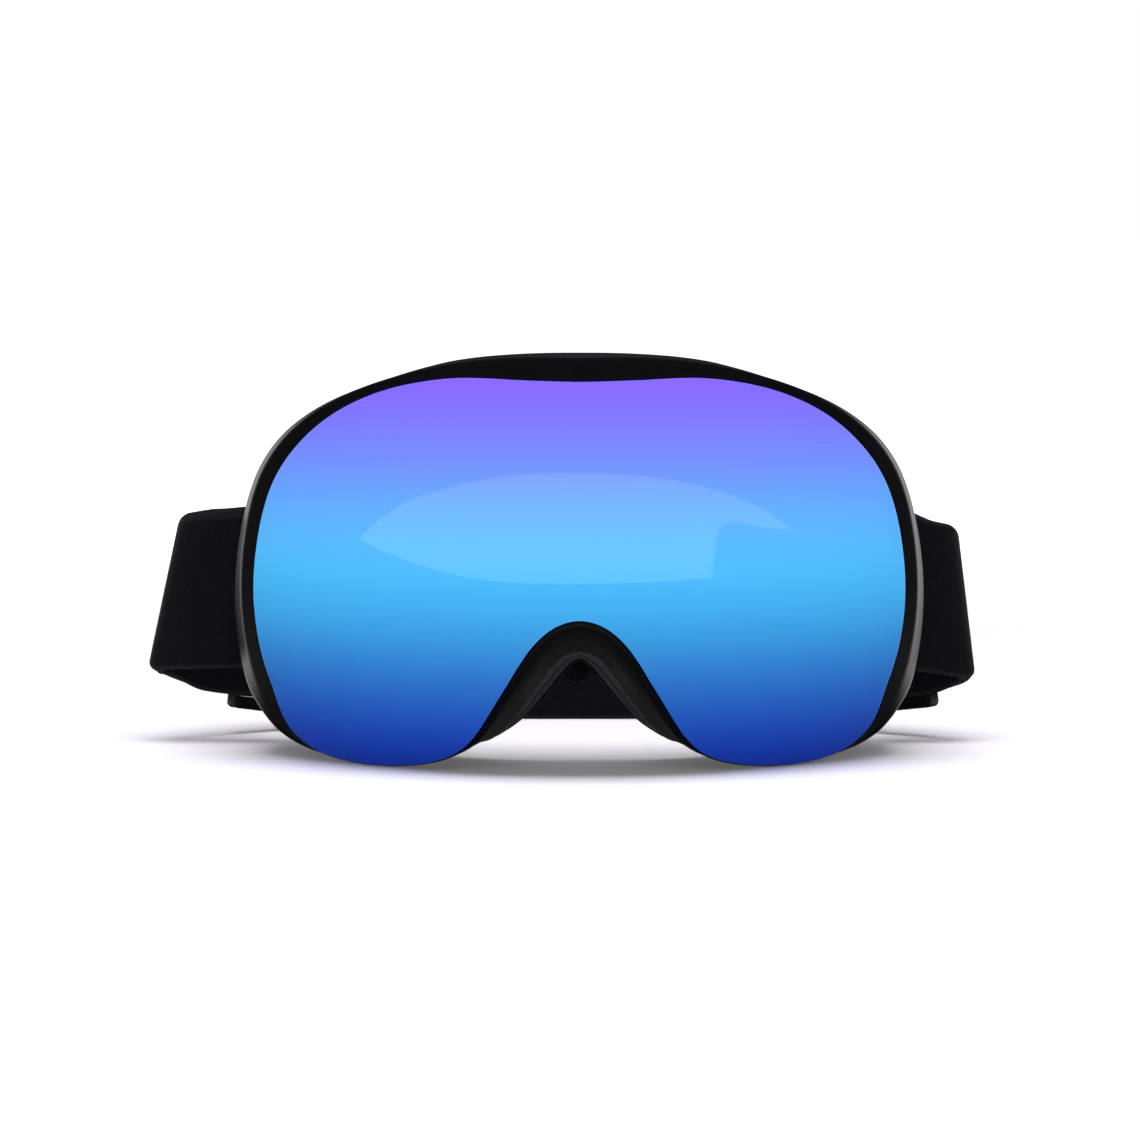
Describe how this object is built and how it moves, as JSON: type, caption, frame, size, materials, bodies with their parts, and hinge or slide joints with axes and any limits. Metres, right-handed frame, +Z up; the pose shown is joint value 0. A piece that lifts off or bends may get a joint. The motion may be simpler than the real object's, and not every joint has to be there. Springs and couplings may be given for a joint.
{
  "type": "ski goggles",
  "caption": "Frameless ski goggles with a spherical mirrored double lens, face foam, hinged strap arms and a wide elastic head strap with slide adjusters.",
  "frame": {"origin": "middle of the rear lower edge of the head strap, on the surface that the goggles stand on", "axes": "+Z up, -Y the way the lens faces, +X along the goggles' width, to the viewer's right when looking at the lens"},
  "size_m": [0.2111, 0.1289, 0.1012],
  "materials": {
    "mirror_lens": "blue to violet mirror coating on polycarbonate",
    "lens_gasket": "black closed-cell foam gasket",
    "clear_lens": "clear, anti-fog coated",
    "carrier_plastic": "black, satin",
    "frame_plastic": "black flexible polyurethane, fine matte",
    "vent_foam": "thin open-cell filter foam",
    "foam_firm": "open-cell foam, dark grey",
    "foam_soft": "soft open-cell foam, black",
    "fleece": "short-pile fleece, black",
    "outrigger_plastic": "black, satin",
    "pin_steel": "plain steel pin",
    "strap_webbing": "woven elastic webbing, black",
    "slider_plastic": "black, satin"
  },
  "bodies": {
    "frame": {"main_frame": "frame_plastic", "top_vent_foam": "vent_foam", "bottom_vent_foam_left": "vent_foam", "bottom_vent_foam_right": "vent_foam", "face_foam_base": "foam_firm", "face_foam_mid": "foam_soft", "face_fleece": "fleece", "nose_tab": "foam_soft", "left_hinge_pin": "pin_steel", "right_hinge_pin": "pin_steel", "strap_back": "strap_webbing", "left_strap_fold": "strap_webbing", "right_strap_fold": "strap_webbing", "left_strap_tail": "strap_webbing", "right_strap_tail": "strap_webbing"},
    "lens": {"outer_lens": "mirror_lens", "lens_spacer": "lens_gasket", "inner_lens": "clear_lens", "lens_carrier": "carrier_plastic"},
    "left_outrigger": {"left_outrigger": "outrigger_plastic", "left_strap_front": "strap_webbing"},
    "right_outrigger": {"right_outrigger": "outrigger_plastic", "right_strap_front": "strap_webbing"},
    "left_slider": {"left_slider": "slider_plastic"},
    "right_slider": {"right_slider": "slider_plastic"}
  },
  "joints": [
    {"name": "lens_release", "type": "slide", "parent": "frame", "child": "lens", "axis": [0, -1, 0], "range_m": [0, 0.03]},
    {"name": "left_outrigger_hinge", "type": "hinge", "parent": "frame", "child": "left_outrigger", "pos_m": [-0.0795, -0.0605, 0.0393], "axis": [0, 0, 1], "range_deg": [-10, 10], "deforming": ["left_strap_fold"]},
    {"name": "right_outrigger_hinge", "type": "hinge", "parent": "frame", "child": "right_outrigger", "pos_m": [0.0795, -0.0605, 0.0393], "axis": [0, 0, 1], "range_deg": [-10, 10], "deforming": ["right_strap_fold"]},
    {"name": "left_slider_slide", "type": "slide", "parent": "frame", "child": "left_slider", "axis": [0.8121, 0.5581, -0.1702], "range_m": [-0.008, 0.02], "deforming": ["left_strap_tail"]},
    {"name": "right_slider_slide", "type": "slide", "parent": "frame", "child": "right_slider", "axis": [-0.8149, 0.56, -0.1495], "range_m": [0, 0.03], "deforming": ["right_strap_tail"]}
  ]
}
